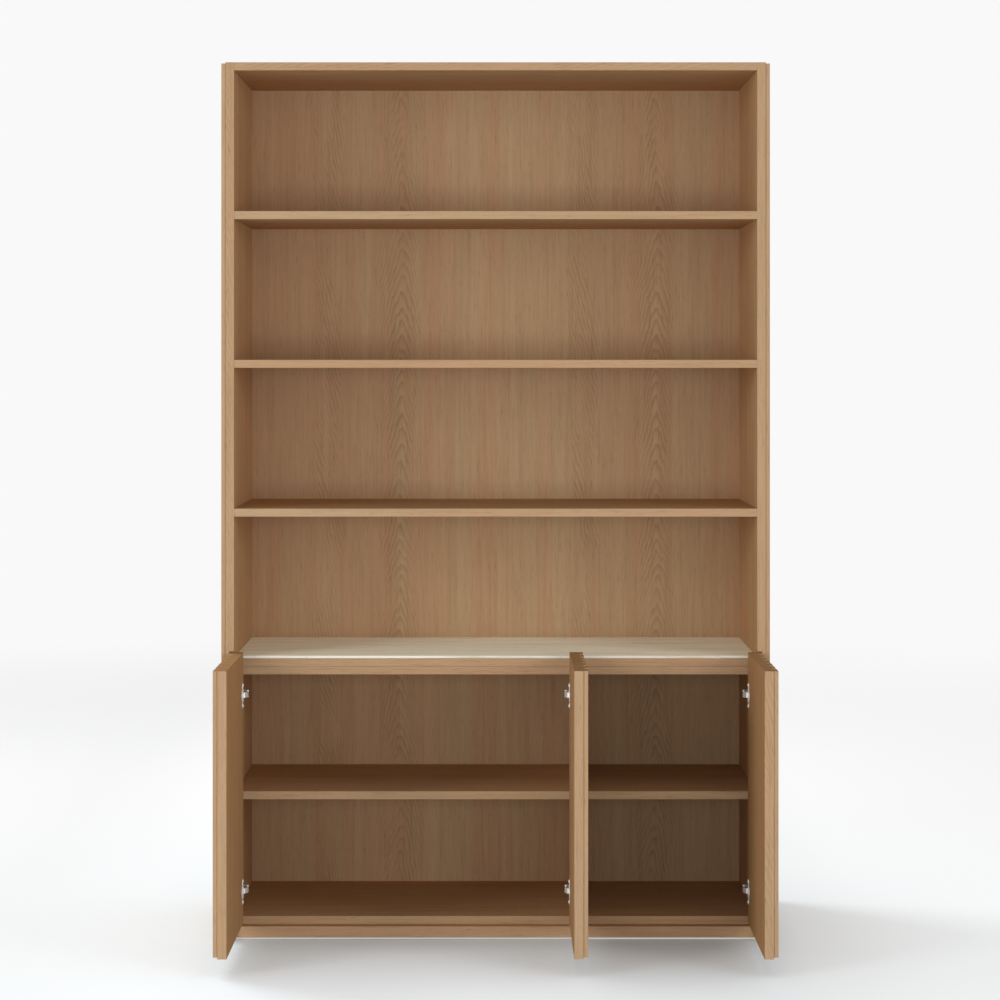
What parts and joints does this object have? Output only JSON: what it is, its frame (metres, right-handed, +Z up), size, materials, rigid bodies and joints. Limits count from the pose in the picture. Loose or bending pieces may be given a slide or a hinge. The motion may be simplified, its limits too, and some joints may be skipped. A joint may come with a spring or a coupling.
{
  "type": "bookcase with cabinet doors",
  "caption": "Tall oak bookcase with open shelves over a stone-topped cabinet with slatted hinged doors and slatted sides.",
  "frame": {"origin": "centre of the footprint with the doors open, on the floor", "axes": "+X to the viewer's right across the front, +Y from the front to the back, +Z up"},
  "size_m": [1.27, 0.9048, 2.032],
  "materials": {
    "oak": "matt lacquered oak veneer",
    "stone": "pale beige engineered stone, satin",
    "nickel": "nickel-plated steel",
    "dowel": "plain beech",
    "glide": "moulded nylon"
  },
  "bodies": {
    "carcass": {"left_side_core": "oak", "right_side_core": "oak", "left_side_slats": "oak", "right_side_slats": "oak", "top_panel": "oak", "hutch_shelf_1": "oak", "hutch_shelf_2": "oak", "hutch_shelf_3": "oak", "stone_top": "stone", "stone_substrate": "oak", "cabinet_top_panel": "oak", "bottom_panel": "oak", "divider": "oak", "left_cabinet_shelf": "oak", "right_cabinet_shelf": "oak", "shelf_pins": "nickel", "corner_dowels": "dowel", "plinth_front_rail": "oak", "plinth_back_rail": "oak", "plinth_cross_rails": "oak", "floor_glides": "glide", "back_panel_lower": "oak", "back_panel_upper": "oak", "back_panel_screws": "nickel", "wall_rail": "oak", "left_hinge_arms": "nickel", "left_hinge_plates": "nickel", "left_plate_screws": "nickel", "middle_hinge_arms": "nickel", "middle_hinge_plates": "nickel", "middle_plate_screws": "nickel", "right_hinge_arms": "nickel", "right_hinge_plates": "nickel", "right_plate_screws": "nickel"},
    "left_door": {"left_door_core": "oak", "left_door_slats": "oak", "left_hinge_cups": "nickel", "left_cup_screws": "nickel"},
    "left_swing_link": {"left_swing_links": "nickel"},
    "left_carry_link": {"left_carry_links": "nickel"},
    "middle_door": {"middle_door_core": "oak", "middle_door_slats": "oak", "middle_hinge_cups": "nickel", "middle_cup_screws": "nickel"},
    "middle_swing_link": {"middle_swing_links": "nickel"},
    "middle_carry_link": {"middle_carry_links": "nickel"},
    "right_door": {"right_door_core": "oak", "right_door_slats": "oak", "right_hinge_cups": "nickel", "right_cup_screws": "nickel"},
    "right_swing_link": {"right_swing_links": "nickel"},
    "right_carry_link": {"right_carry_links": "nickel"}
  },
  "joints": [
    {"name": "left_door_hinge", "type": "hinge", "parent": "carcass", "child": "left_door", "pos_m": [-0.613, -0.04587, 0.34145], "axis": [0, 0, 1], "range_deg": [-5, 90]},
    {"name": "left_swing_pivot", "type": "hinge", "parent": "carcass", "child": "left_swing_link", "pos_m": [-0.5973, -0.01517, 0.34145], "axis": [0, 0, 1], "range_deg": [-5, 90]},
    {"name": "left_knuckle_pivot", "type": "hinge", "parent": "left_swing_link", "child": "left_carry_link", "pos_m": [-0.5768, -0.02567, 0.34145], "axis": [0, 0, 1], "range_deg": [-90, 5]},
    {"name": "middle_door_hinge", "type": "hinge", "parent": "carcass", "child": "middle_door", "pos_m": [0.19943, -0.04587, 0.34145], "axis": [0, 0, -1], "range_deg": [-5, 90]},
    {"name": "middle_swing_pivot", "type": "hinge", "parent": "carcass", "child": "middle_swing_link", "pos_m": [0.18373, -0.01517, 0.34145], "axis": [0, 0, -1], "range_deg": [-5, 90]},
    {"name": "middle_knuckle_pivot", "type": "hinge", "parent": "middle_swing_link", "child": "middle_carry_link", "pos_m": [0.16323, -0.02567, 0.34145], "axis": [0, 0, -1], "range_deg": [-90, 5]},
    {"name": "right_door_hinge", "type": "hinge", "parent": "carcass", "child": "right_door", "pos_m": [0.613, -0.04587, 0.34145], "axis": [0, 0, -1], "range_deg": [-5, 90]},
    {"name": "right_swing_pivot", "type": "hinge", "parent": "carcass", "child": "right_swing_link", "pos_m": [0.5973, -0.01517, 0.34145], "axis": [0, 0, -1], "range_deg": [-5, 90]},
    {"name": "right_knuckle_pivot", "type": "hinge", "parent": "right_swing_link", "child": "right_carry_link", "pos_m": [0.5768, -0.02567, 0.34145], "axis": [0, 0, -1], "range_deg": [-90, 5]}
  ],
  "couplings": [
    {"joint": "left_swing_pivot", "follows": "left_door_hinge", "ratio": 1},
    {"joint": "left_knuckle_pivot", "follows": "left_door_hinge", "ratio": -1},
    {"joint": "middle_swing_pivot", "follows": "middle_door_hinge", "ratio": 1},
    {"joint": "middle_knuckle_pivot", "follows": "middle_door_hinge", "ratio": -1},
    {"joint": "right_swing_pivot", "follows": "right_door_hinge", "ratio": 1},
    {"joint": "right_knuckle_pivot", "follows": "right_door_hinge", "ratio": -1}
  ]
}
